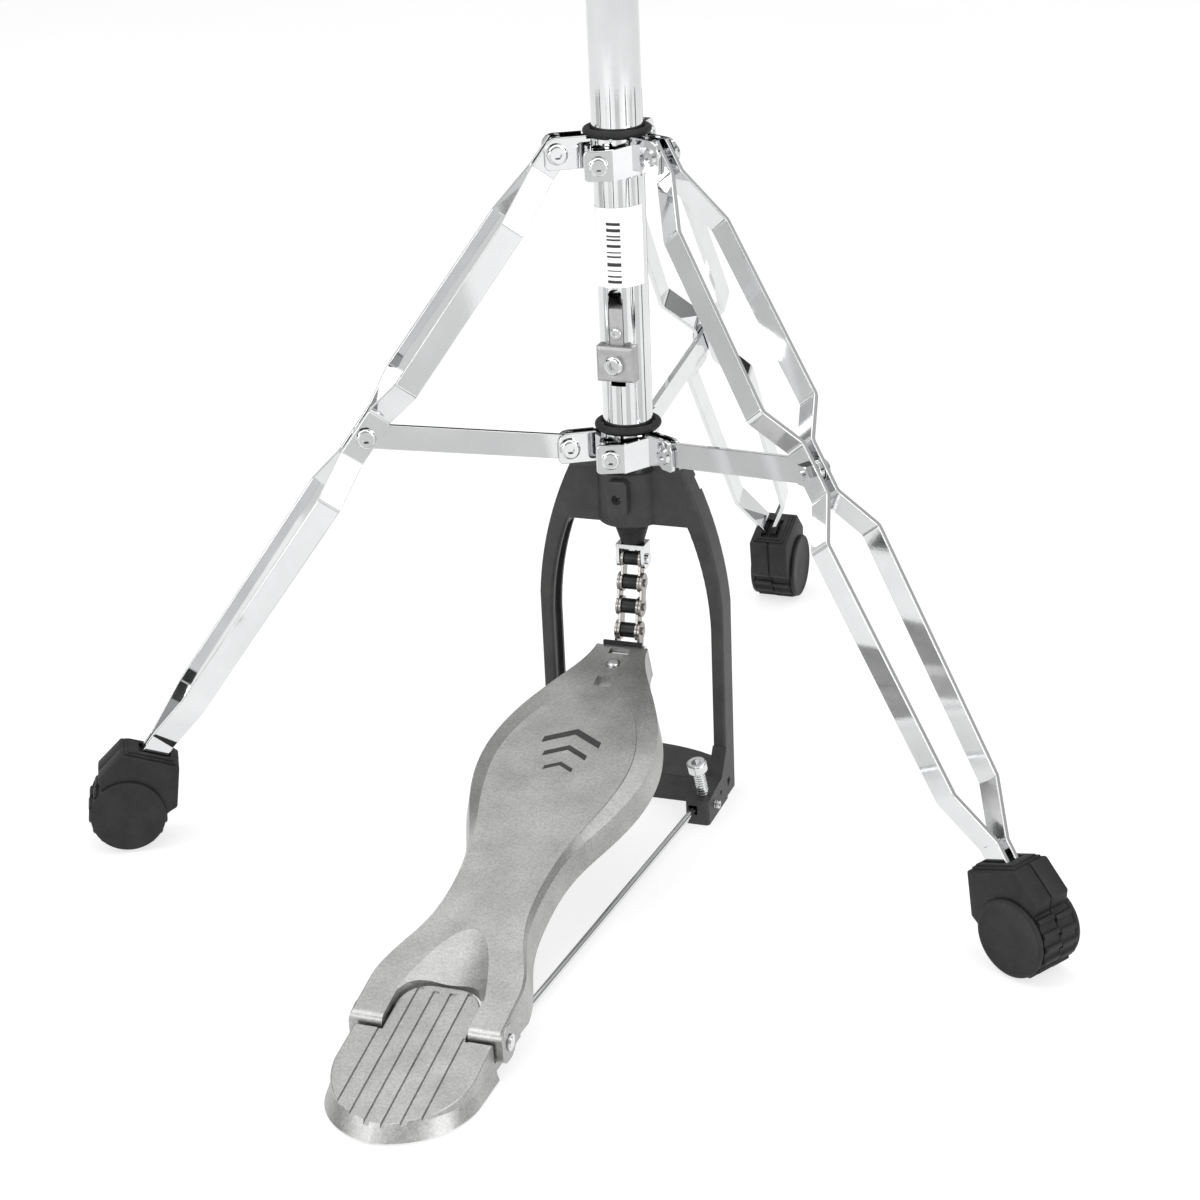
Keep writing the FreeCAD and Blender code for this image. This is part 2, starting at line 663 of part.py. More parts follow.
# half widths of the footboard from nose to heel: outer edge, flat field, and how far the edge lies lower
BOARD_Y = (NOSE_Y, -32, -46, -76, -112, -146, -175, -205, -233, -257, -270)
BOARD_EDGE = (14.0, 15.8, 22.0, 37.0, 43.6, 36.6, 25.9, 22.9, 26.3, 34.7, 36.0)
FIELD_Y = (-56.0, -59.5, -66, -84, -113, -146, -175, -205, -233, -257, -270)
FIELD_EDGE = (4.0, 11.0, 18.0, 28.5, 35.2, 30.8, 23.6, 21.2, 25.0, 33.9, 35.4)
EDGE_DROP = (0.5, 0.5, 0.7, 1.9, 2.9, 3.3, 3.5, 3.4, 2.6, 1.3, 0.9)
FIELD_STEP = 0.45


def closed_plan(pts, end_y, end_drop):
    """Closed wire through the right-hand points, their mirror image, and straight runs at the heel."""
    steps = [0.0]
    for i in range(1, len(BOARD_Y)):
        steps.append(steps[-1] + math.hypot(BOARD_Y[i] - BOARD_Y[i - 1], BOARD_EDGE[i] - BOARD_EDGE[i - 1]))
    last = pts[-1]
    end = V(last.x, end_y, top_z(end_y) - end_drop)
    sides = []
    for sign in (1, -1):
        side = [V(sign * p.x, p.y, p.z) for p in pts]
        curve = Part.BSplineCurve()
        curve.interpolate(Points=side, Parameters=steps)
        sides.append(curve.toShape())
        sides.append(Part.LineSegment(side[-1], V(sign * end.x, end.y, end.z)).toShape())
    nose = Part.LineSegment(V(-pts[0].x, pts[0].y, pts[0].z), pts[0]).toShape()
    heel = Part.LineSegment(end, V(-end.x, end.y, end.z)).toShape()
    return Part.Wire(Part.__sortEdges__([nose, sides[0], sides[1], heel, sides[3], sides[2]]))


def board_outline(grow, drop):
    """Closed plan of the footboard at one depth under its top."""
    pts = [V(x + grow, y, top_z(y) - drop) for x, y in zip(BOARD_EDGE, BOARD_Y)]
    return closed_plan(pts, -294.0, drop)


def shoulder_edge():
    """Outer edge of the top, lower than the flat field where the board is wide."""
    pts = [V(x, y, top_z(y) - d) for x, y, d in zip(BOARD_EDGE, BOARD_Y, EDGE_DROP)]
    return closed_plan(pts, -294.0, EDGE_DROP[-1])


def field_edge(inset, drop):
    """Edge of the flat field that the foot rests on."""
    pts = [V(x - inset, y - (inset if i < 2 else 0), top_z(y - (inset if i < 2 else 0)) - drop)
           for i, (x, y) in enumerate(zip(FIELD_EDGE, FIELD_Y))]
    return closed_plan(pts, -294.0, drop)


LUG_END = -291.5
LUG_BOTTOM = 5.9
LUG_TOP_R = 4.0
LUG_LOW_R = 6.5
SCOOP_TIP = -232.0
SCOOP_R = 42.0


def lug_end_tools():
    """Shapes that cut the footboard's rear end to a vertical face with two rounded corners."""
    tilt = math.atan(TOP_SLOPE)
    cy = LUG_END + LUG_TOP_R
    cz = top_z(cy) - LUG_TOP_R / math.cos(tilt)
    half = (math.pi / 2 + tilt + math.pi) / 2
    top = V(-70, cy - LUG_TOP_R * math.sin(tilt), cz + LUG_TOP_R * math.cos(tilt))
    mid = V(-70, cy + LUG_TOP_R * math.cos(half), cz + LUG_TOP_R * math.sin(half))
    upper = [top, mid, V(-70, LUG_END, cz), V(-70, -310, cz), V(-70, -310, 60), V(-70, top.y, 60)]
    low = LUG_BOTTOM + LUG_LOW_R
    part = LUG_LOW_R * math.cos(math.pi / 4)
    lower = [V(-70, LUG_END, low), V(-70, LUG_END + LUG_LOW_R - part, low - part),
             V(-70, LUG_END + LUG_LOW_R, LUG_BOTTOM),
             V(-70, LUG_END + LUG_LOW_R, -10), V(-70, -310, -10), V(-70, -310, low)]
    tools = [box(-70, 70, -400, LUG_END, -10, 60)]
    for p in (upper, lower):
        edges = [Part.Arc(p[0], p[1], p[2]).toShape()]
        for i in range(2, 6):
            edges.append(Part.LineSegment(p[i], p[(i + 1) % 6]).toShape())
        tools.append(Part.Face(Part.Wire(edges)).extrude(V(140, 0, 0)))
    return tools


def heel_scoop(grow):
    """Wide shallow cylinder that dishes the top of the footboard down towards the fork."""
    tip = V(0, SCOOP_TIP, top_z(SCOOP_TIP))
    along = V(0, -30.0, -11.9)
    along.normalize()
    normal = V(0, along.z, -along.y)
    start = tip + normal * SCOOP_R - along * 20
    return Part.makeCylinder(SCOOP_R + grow, 62.0, start, along)


def footboard():
    """Cast footboard: shell with skirts, hinge fork, heel dish and chain nose."""
    sections = [board_outline(2.4, SKIRT), shoulder_edge(), field_edge(0.0, FIELD_STEP), field_edge(0.35, 0.0)]
    outer = Part.makeLoft(sections, True, True)
    inner = Part.makeLoft([board_outline(-5.0, 6.4), board_outline(-0.6, SKIRT + 1.0)], True, True)
    inner = inner.common(box(-60, 60, -268, NOSE_Y - 3.0, 0, 120))
    body = outer.cut(inner)
    for side in (1, -1):
        x0, x1 = (20.6, 36.4) if side > 0 else (-36.4, -20.6)
        barrel = rod((x0, HINGE_Y, HINGE_Z), (x1, HINGE_Y, HINGE_Z), HINGE_Z - LUG_BOTTOM)
        corner = box(x0, x1, HINGE_Y - 9, HINGE_Y, LUG_BOTTOM, 20.0)
        body = body.multiFuse([barrel, corner, box(x0, x1, HINGE_Y, HINGE_Y + 14, HINGE_Z, 20.0)])
    scoop = heel_scoop(0.0)
    body = body.fuse(heel_scoop(3.2).common(outer)).cut(scoop)
    fork = box(-20.4, 20.4, -300, -262.2, -5, 60)
    fork = round_all(fork, 14.0, lambda c: abs(c.y + 262.2) < 0.1 and abs(abs(c.x) - 20.4) < 0.1)
    body = body.cut(fork)
    for tool in lug_end_tools():
        body = body.cut(tool)
    body = body.cut(rod((-60, HINGE_Y, HINGE_Z), (60, HINGE_Y, HINGE_Z), PIN_R + 0.06))
    body = body.cut(box(-60, 60, -300, -240, -5, 5.9))
    body = body.cut(box(-4.6, 4.6, -55.2, -47.2, 60, 95))
    body = body.cut(box(-5.4, 5.4, -28.6, -24.4, 74, 95))
    body = body.cut(box(-11, 11, NOSE_Y - 6, NOSE_Y + 4, 60, 83.4))
    body = body.cut(cyl(2.6, 70, 95, 0, -36.5))
    body = body.cut(cyl(3.6, top_z(-36.5) - 1.3, 95, 0, -36.5))
    for side in (1, -1):
        flank = prism([(36.6, -300, -5), (36.6, -274, -5), (41.0, -252, -5), (70, -252, -5), (70, -300, -5)],
                      V(0, 0, 70))
        body = body.cut(flank if side > 0 else mirror_x(flank))
    body = clean(body)
    return max(body.Solids, key=lambda s: s.Volume)


def hinge_pin():
    """Pedal hinge pin with a circlip at each end."""
    pin = rod((-37.9, HINGE_Y, HINGE_Z), (37.9, HINGE_Y, HINGE_Z), PIN_R)
    for x0, x1 in ((36.8, 37.5), (-37.5, -36.8)):
        pin = pin.fuse(rod((x0, HINGE_Y, HINGE_Z), (x1, HINGE_Y, HINGE_Z), 3.8))
    return clean(pin)


def nose_pad():
    """Rubber strip on the end face of the nose."""
    y = NOSE_Y + 0.1
    z = top_z(NOSE_Y)
    return box(-10.5, 10.5, y + 0.1, y + 1.6, z - 4.2, z + 1.6)


def chain_clip():
    """Bent clip under the nose whose lugs carry the lowest chain pin."""
    end = chain_point(4)
    y0 = NOSE_Y - 19.0
    z0 = 74.0
    base = box(-9.2, 9.2, y0, -24.5, z0 - 0.4, z0 + 1.4)
    base = base.cut(cyl(2.3, 60, 90, 0, -36.5))
    parts = [base]
    for s in (1, -1):
        x0, x1 = (7.7, 9.2) if s > 0 else (-9.2, -7.7)
        lug = box(x0, x1, -27.0, end[1], z0, end[2] + 3.0)
        tip = rod((x0, end[1], end[2]), (x1, end[1], end[2]), 5.0)
        parts += [lug, tip]
    tongue = box(-4.8, 4.8, -28.0, -25.0, z0, top_z(-28.0) - 1.5)
    body = parts[0].multiFuse(parts[1:] + [tongue])
    body = body.cut(rod((-20, end[1], end[2]), (20, end[1], end[2]), 2.9))
    return clean(body)


def clip_screw():
    """Screw from the top of the footboard into the chain clip."""
    z = top_z(-36.5)
    head = shift(pan_head(3.3, 1.8), 0, -36.5, z - 1.28)
    return clean(head.fuse(cyl(2.2, 71.5, z + 0.2, 0, -36.5)))


def build_pedal():
    save(heel_plate(), "heel_plate")
    save(group(pad_shapes(0.0)), "floor_pads")
    save(hinge_pin(), "hinge_pin")
    save(footboard(), "footboard")
    save(nose_pad(), "nose_pad")
    save(chain_clip(), "chain_clip")
    save(clip_screw(), "clip_screw")


# ---------------------------------------------------------------- chain and pull rod

def chain_point(k):
    a = math.radians(CHAIN_LEAN)
    return (0.0, -PITCH * k * math.sin(a), YOKE_Z - PITCH * k * math.cos(a))


def link_plate(k, x0):
    """Figure-eight plate between chain points k and k + 1."""
    p = chain_point(k)
    q = chain_point(k + 1)
    a = rod((x0, p[1], p[2]), (x0 + PLATE_T, p[1], p[2]), PLATE_R)
    b = rod((x0, q[1], q[2]), (x0 + PLATE_T, q[1], q[2]), PLATE_R)
    d = V(0, q[1] - p[1], q[2] - p[2])
    n = V(0, -d.z, d.y)
    n.normalize()
    c = [V(x0, p[1], p[2]) + n * 3.4, V(x0, q[1], q[2]) + n * 3.4,
         V(x0, q[1], q[2]) - n * 3.4, V(x0, p[1], p[2]) - n * 3.4]
    bar = prism([(v.x, v.y, v.z) for v in c], V(PLATE_T, 0, 0))
    body = a.multiFuse([b, bar])
    body = soften(clean(body), 0.3, lambda e: e.BoundBox.XLength < 0.01)
    for s in (p, q):
        body = body.cut(rod((x0 - 1, s[1], s[2]), (x0 + 3, s[1], s[2]), 2.05))
    return clean(body)


def chain_plates(first, gap):
    shapes = []
    for k in (first, first + 2):
        shapes.append(link_plate(k, gap))
        shapes.append(link_plate(k, -gap - PLATE_T))
    return group(shapes)


def chain_rollers():
    shapes = []
    for k in range(5):
        p = chain_point(k)
        r = rod((-ROLLER_HALF, p[1], p[2]), (ROLLER_HALF, p[1], p[2]), ROLLER_R)
        shapes.append(r.cut(rod((-9, p[1], p[2]), (9, p[1], p[2]), 2.05)))
    return group(shapes)


def chain_pins():
    shapes = []
    for k, half in ((1, 7.9), (2, 7.9), (3, 7.9), (4, 9.9)):
        p = chain_point(k)
        shapes.append(rod((-half, p[1], p[2]), (half, p[1], p[2]), 2.0))
    return group(shapes)


def chain_yoke():
    """Bent strap under the pull rod that carries the top chain pin."""
    top = 137.9
    side = 5.9
    parts = [box(-side - 1.8, side + 1.8, -5.2, 5.2, top - 2.2, top)]
    for s in (1, -1):
        x0, x1 = (side, side + 1.8) if s > 0 else (-side - 1.8, -side)
        parts.append(box(x0, x1, -5.2, 5.2, YOKE_Z, top))
        parts.append(rod((x0, 0, YOKE_Z), (x1, 0, YOKE_Z), 5.2))
    body = parts[0].multiFuse(parts[1:])
    body = body.cut(rod((-20, 0, YOKE_Z), (20, 0, YOKE_Z), 2.05))
    return clean(body.cut(cyl(ROD_R + 0.02, top - 5, top + 1)))


def yoke_pin():
    pin = rod((-8.4, 0, YOKE_Z), (8.4, 0, YOKE_Z), 2.0)
    head = rod((7.75, 0, YOKE_Z), (8.9, 0, YOKE_Z), 3.0)
    return clean(pin.fuse(head).fuse(rod((-8.9, 0, YOKE_Z), (-7.75, 0, YOKE_Z), 3.0)))


def pull_rod():
    return cyl(ROD_R, 134.0, ROD_TOP)


def rod_collar():
    """Spring seat clamped on the pull rod."""
    return clean(cyl(9.6, 330, 336).fuse(cyl(5.5, 336, 345)).cut(cyl(ROD_R + 0.02, 320, 350)))


def build_drive():
    save(chain_plates(0, ROLLER_HALF + 0.1), "chain_inner_plates")
    save(chain_plates(1, ROLLER_HALF + 0.2 + PLATE_T), "chain_outer_plates")
    save(chain_rollers(), "chain_rollers")
    save(chain_pins(), "chain_pins")
    save(chain_yoke(), "chain_yoke")
    save(yoke_pin(), "yoke_pin")
    save(pull_rod(), "pull_rod")
    save(rod_collar(), "rod_collar")


# ---------------------------------------------------------------- spring adjuster

def tension_block():
    """Cast block outside the tube, bolted through the slot."""
    body = box(-9.8, 9.8, -16.6, -4.5, BLOCK_LOW, BLOCK_TOP)
    body = round_all(body, 1.5, lambda c: abs(c.y + 16.6) < 0.1)
    body = body.cut(cyl(TUBE_R + 0.3, BLOCK_LOW - 5, BLOCK_TOP + 5))
    return clean(body.cut(rod((0, -20, CLAMP_Z), (0, 0, CLAMP_Z), 2.6)))


def spring_carrier():
    """Plastic seat inside the tube with a key in the slot."""
    body = cyl(10.8, CARRIER_LOW, 266).fuse(box(-3.5, 3.5, -12.3, -5, CARRIER_LOW, 266))
    body = body.cut(cyl(4.2, 200, 280))
    for z in (CLAMP_Z, STOP_SCREW_Z):
        body = body.cut(rod((0, -20, z), (0, -5.5, z), 2.1))
    return clean(body)


def tension_screws():
    """Clamp bolt of the block and the small screw above it."""
    a = shift(turn(pan_head(5.0, 3.4), 90, V(1, 0, 0)), 0, -16.65, CLAMP_Z)
    a = a.fuse(rod((0, -17, CLAMP_Z), (0, -6.0, CLAMP_Z), 2.05))
    b = shift(turn(pan_head(3.0, 1.6), 90, V(1, 0, 0)), 0, -12.35, STOP_SCREW_Z)
    b = b.fuse(rod((0, -13, STOP_SCREW_Z), (0, -6.0, STOP_SCREW_Z), 2.05))
    return group([clean(a), clean(b)])


def return_spring():
    """Compression spring between the carrier and the rod collar."""
    helix = Part.makeHelix(8.4, 60.0, 7.6)
    helix.translate(V(0, 0, 267.6))
    start = V(7.6, 0, 267.6)
    profile = Part.Wire(Part.makeCircle(1.2, start, V(0, 1, 0.17)))
    return helix.makePipeShell([profile], True, True)


def build_adjuster():
    save(tension_block(), "tension_block")
    save(spring_carrier(), "spring_carrier")
    save(tension_screws(), "tension_screws")
    save(return_spring(), "return_spring")


# ---------------------------------------------------------------- height clamp, seat and clutch

def wing(length, shank):
    """Wing bolt along +X: point at X = 0, wings past the length."""
    body = rod((0, 0, 0), (length, 0, 0), shank)
    body = body.fuse(rod((length - 0.5, 0, 0), (length + 9, 0, 0), 5.4))
    for s in (1, -1):
        lobe = Part.makeCylinder(7.2, 3.6, V(length + 8.5, -1.8, s * 9.5), V(0, 1, 0))
        neck = box(length + 2.5, length + 11, -1.8, 1.8, min(s * 2, s * 12), max(s * 2, s * 12))
        body = body.fuse(lobe).fuse(neck)
    return clean(body)


def height_clamp():
    """Split collar on the top of the stand tube."""
    body = cyl(17.5, 493, 525)
    ears = box(14, 31, -8.5, 8.5, 500, 518)
    ears = round_all(ears, 6.0, lambda c: abs(c.x - 31) < 0.1 and abs(c.y) < 0.1)
    body = body.fuse(ears)
    body = body.cut(cyl(TUBE_R + 0.05, 480, TUBE_TOP))
    body = body.cut(cyl(UPPER_R + 0.4, 480, 540))
    body = body.cut(box(8, 40, -1.0, 1.0, 480, 540))
    body = body.cut(rod((24.5, -20, 509), (24.5, 20, 509), 3.1))
    return clean(body)


def clamp_wing():
    w = wing(26.5, 3.0)
    w = turn(w, 90)
    return shift(w, 24.5, -10.5, 509)


def upper_tube():
    return clean(cyl(UPPER_R, UPPER_BOTTOM, UPPER_END).cut(cyl(8.2, UPPER_BOTTOM - 1, UPPER_END + 1)))


def seat_holder():
    """Cup base pressed into the upper tube, with an arm for the tilter screw."""
    body = cyl(12.5, 760.05, 768).fuse(cyl(8.1, 748, 761))
    body = body.fuse(box(-21, 0, -4, 4, 760.05, 766))
    for s in (-1, 1):
        body = body.fuse(rod((9.0, s * 7, 771.0), (9.0, s * 5.1, 771.0), 3.2))
    body = body.fuse(box(6.0, 12.0, -7, -5.1, 762, 771)).fuse(box(6.0, 12.0, 5.1, 7, 762, 771))
    body = body.cut(cyl(5.2, 740, 790))
    body = body.cut(cyl(2.3, 750, 780, -17.0, 0))
    body = body.cut(rod((9, -9, 771), (9, 9, 771), 1.6))
    return clean(body)


def seat_plate():
    """Round cymbal seat that tips on its cross pin."""
    body = Part.makeCone(19.0, 23.0, 3.0, V(0, 0, 774.6)).fuse(cyl(23.0, 777.6, 779.0))
    body = body.fuse(box(6.6, 11.4, -4.8, 4.8, 769.4, 775.2))
    body = body.fuse(rod((9, -6.9, 771), (9, 6.9, 771), 1.5))
    return clean(body.cut(cyl(6.2, 760, 790)))


def felt(z0, z1, r, bore):
    """Felt washer with soft edges."""
    body = cyl(r, z0, z1)
    body = body.makeFillet(1.6, [e for e in body.Edges if e.BoundBox.XLength > 2 * r - 0.1])
    return body.cut(cyl(bore, z0 - 1, z1 + 1))


def tilter_screw():
    """Knurled screw that lifts one side of the seat."""
    body = cyl(2.2, 752.0, 774.3, -17.0, 0).fuse(cyl(6.0, 750.0, 755.0, -17.0, 0))
    return clean(body)


CLUTCH_Z = 842.0


def clutch_body():
    """Sleeve that grips the pull rod, with a threaded tail for felts and nuts."""
    z = CLUTCH_Z
    body = cyl(5.5, z, z + 34).fuse(cyl(9.0, z + 34, z + 62))
    body = body.fuse(cyl(11.0, z + 34, z + 38))
    body = body.fuse(rod((0, 0, z + 50), (14.0, 0, z + 50), 5.5))
    body = body.cut(cyl(ROD_R + 0.06, z - 1, z + 70))
    body = body.cut(rod((2, 0, z + 50), (20, 0, z + 50), 2.6))
    return clean(body)


def clutch_nuts():
    """Bottom nut and upper lock nut of the clutch."""
    z = CLUTCH_Z
    shapes = []
    for z0, z1, r in ((z + 0.5, z + 7.0, 9.5), (z + 26.0, z + 32.0, 9.5)):
        n = cyl(r, z0, z1)
        for i in range(12):
            a = math.radians(30 * i)
            n = n.cut(cyl(1.2, z0 - 1, z1 + 1, (r + 0.4) * math.cos(a), (r + 0.4) * math.sin(a)))
        shapes.append(clean(n.cut(cyl(5.55, z0 - 1, z1 + 1))))
    return group(shapes)


def clutch_felts():
    z = CLUTCH_Z
    return group([felt(z + 7.1, z + 14.0, 14.5, 5.7), felt(z + 18.8, z + 25.8, 14.5, 5.7)])


def clutch_wing():
    w = wing(17.4, 2.5)
    return shift(w, 3.2, 0, CLUTCH_Z + 50)


def build_top():
    save(height_clamp(), "height_clamp")
    save(clamp_wing(), "clamp_wing_bolt")
    save(upper_tube(), "upper_tube")
    save(seat_holder(), "seat_holder")
    save(seat_plate(), "seat_plate")
    save(felt(779.1, 786.5, 20.5, 6.2), "seat_felt")
    save(tilter_screw(), "tilter_screw")
    save(clutch_body(), "clutch_body")
    save(clutch_nuts(), "clutch_nuts")
    save(clutch_felts(), "clutch_felts")
    save(clutch_wing(), "clutch_wing_bolt")


os.makedirs(PARTS, exist_ok=True)
build_legs()
build_hubs()
build_frame()
build_pedal()
build_drive()
build_adjuster()
build_top()
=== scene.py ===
import json
import math

import bmesh
import bpy
from mathutils import Matrix, Vector

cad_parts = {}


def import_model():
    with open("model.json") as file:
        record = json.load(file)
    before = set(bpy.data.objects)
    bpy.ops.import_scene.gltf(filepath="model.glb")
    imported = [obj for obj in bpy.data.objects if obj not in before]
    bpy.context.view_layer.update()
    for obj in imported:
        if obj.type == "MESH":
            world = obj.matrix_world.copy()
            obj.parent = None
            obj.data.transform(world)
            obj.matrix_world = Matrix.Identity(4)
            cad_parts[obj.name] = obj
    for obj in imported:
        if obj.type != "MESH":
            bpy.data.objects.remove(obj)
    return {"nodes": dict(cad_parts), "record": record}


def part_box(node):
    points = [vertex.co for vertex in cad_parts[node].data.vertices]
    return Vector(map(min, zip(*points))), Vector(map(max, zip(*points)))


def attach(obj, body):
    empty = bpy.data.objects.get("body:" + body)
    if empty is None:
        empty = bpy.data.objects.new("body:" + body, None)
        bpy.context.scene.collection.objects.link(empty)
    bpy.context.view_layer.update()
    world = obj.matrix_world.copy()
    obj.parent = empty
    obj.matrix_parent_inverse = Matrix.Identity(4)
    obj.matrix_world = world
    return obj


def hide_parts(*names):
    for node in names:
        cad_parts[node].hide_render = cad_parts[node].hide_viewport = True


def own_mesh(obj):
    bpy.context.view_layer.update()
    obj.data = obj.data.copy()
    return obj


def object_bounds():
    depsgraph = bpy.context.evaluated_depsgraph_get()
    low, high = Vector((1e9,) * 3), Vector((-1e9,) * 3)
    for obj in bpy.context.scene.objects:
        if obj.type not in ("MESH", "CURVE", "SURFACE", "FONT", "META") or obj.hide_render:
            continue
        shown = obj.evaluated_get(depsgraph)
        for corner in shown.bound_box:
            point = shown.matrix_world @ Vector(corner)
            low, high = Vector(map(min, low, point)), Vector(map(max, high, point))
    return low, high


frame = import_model()
nodes = frame["nodes"]
low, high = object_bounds()
MM = 0.001


# ------------------------------------------------------------ shader helpers

NOISE_LOW = 0.3
NOISE_HIGH = 0.7

class Nodes:
    """Small helper around a material's node tree."""

    def __init__(self, name):
        self.mat = bpy.data.materials.new(name)
        self.mat.use_nodes = True
        self.tree = self.mat.node_tree
        self.tree.nodes.clear()
        self.out = self.add("ShaderNodeOutputMaterial")
        self.bsdf = self.add("ShaderNodeBsdfPrincipled")
        self.link(self.bsdf, "BSDF", self.out, "Surface")
        self.coord = self.add("ShaderNodeTexCoord")

    def add(self, kind, **values):
        n = self.tree.nodes.new(kind)
        for key, value in values.items():
            setattr(n, key, value)
        return n

    def link(self, a, out, b, into):
        self.tree.links.new(a.outputs[out], b.inputs[into])

    def noise(self, scale, detail, rough):
        n = self.add("ShaderNodeTexNoise")
        n.inputs["Scale"].default_value = scale
        n.inputs["Detail"].default_value = detail
        n.inputs["Roughness"].default_value = rough
        self.link(self.coord, "Object", n, "Vector")
        return n

    def ramp(self, source, out, stops):
        r = self.add("ShaderNodeValToRGB")
        e = r.color_ramp.elements
        while len(e) < len(stops):
            e.new(0.5)
        for i, (pos, value) in enumerate(stops):
            e[i].position = pos
            c = value if isinstance(value, (tuple, list)) else (value, value, value)
            e[i].color = (c[0], c[1], c[2], 1.0)
        self.link(source, out, r, "Fac")
        return r

    def spread(self, source, out, low, high):
        """Maps the middle range of a noise to low..high."""
        m = self.add("ShaderNodeMapRange")
        m.inputs["From Min"].default_value = NOISE_LOW
        m.inputs["From Max"].default_value = NOISE_HIGH
        m.inputs["To Min"].default_value = low
        m.inputs["To Max"].default_value = high
        self.link(source, out, m, "Value")
        return m

    def bump(self, source, out, strength, distance):
        b = self.add("ShaderNodeBump")
        b.inputs["Strength"].default_value = strength
        b.inputs["Distance"].default_value = distance
        self.link(source, out, b, "Height")
        return b

    def values(self, **kw):
        names = {"metallic": "Metallic", "roughness": "Roughness", "specular": "Specular IOR Level",
                 "color": "Base Color"}
        for key, value in kw.items():
            if key == "color":
                value = (value[0], value[1], value[2], 1.0)
            self.bsdf.inputs[names[key]].default_value = value


def metal_mat(name, dark, light, rough, grain, scale, bump, distance):
    """Metal whose tone and gloss vary over the surface."""
    n = Nodes(name)
    n.values(metallic=1.0)
    cloud = n.noise(scale, 5.0, 0.6)
    tone = n.ramp(cloud, "Fac", [(NOISE_LOW, dark), (NOISE_HIGH, light)])
    n.link(tone, "Color", n.bsdf, "Base Color")
    gloss = n.spread(cloud, "Fac", rough[0], rough[1])
    n.link(gloss, "Result", n.bsdf, "Roughness")
    fine = n.noise(grain, 3.0, 0.6)
    b = n.bump(fine, "Fac", bump, distance)
    n.link(b, "Normal", n.bsdf, "Normal")
    return n.mat


def cast_mat(name, dark, light, speckle, rough, grain, scale, bump, distance):
    """Tumbled bare casting: faint clouds, fine bright and dark grains, and an uneven gloss."""
    n = Nodes(name)
    n.values(metallic=1.0)
    cloud = n.noise(scale, 3.0, 0.5)
    tone = n.ramp(cloud, "Fac", [(NOISE_LOW, dark), (NOISE_HIGH, light)])
    fine = n.noise(grain, 4.0, 0.8)
    dots = n.ramp(fine, "Fac", [(0.36, 1.0 - speckle), (0.5, 1.0), (0.64, 1.0 + speckle)])
    mix = n.add("ShaderNodeMix", data_type="RGBA", blend_type="MULTIPLY")
    mix.inputs["Factor"].default_value = 1.0
    n.tree.links.new(tone.outputs["Color"], mix.inputs["A"])
    n.tree.links.new(dots.outputs["Color"], mix.inputs["B"])
    n.tree.links.new(mix.outputs["Result"], n.bsdf.inputs["Base Color"])
    gloss = n.spread(fine, "Fac", rough[0], rough[1])
    n.link(gloss, "Result", n.bsdf, "Roughness")
    b = n.bump(fine, "Fac", bump, distance)
    n.link(b, "Normal", n.bsdf, "Normal")
    return n.mat


def dull_mat(name, dark, light, rough, grain, scale, bump, distance, metallic=0.0, specular=0.5):
    """Paint, rubber or plastic with a fine moulded or cast grain."""
    n = Nodes(name)
    n.values(metallic=metallic, specular=specular)
    cloud = n.noise(scale, 5.0, 0.65)
    tone = n.ramp(cloud, "Fac", [(0.32, dark), (0.68, light)])
    n.link(tone, "Color", n.bsdf, "Base Color")
    fine = n.noise(grain, 4.0, 0.7)
    gloss = n.spread(fine, "Fac", rough[0], rough[1])
    n.link(gloss, "Result", n.bsdf, "Roughness")
    b = n.bump(fine, "Fac", bump, distance)
    n.link(b, "Normal", n.bsdf, "Normal")
    return n.mat


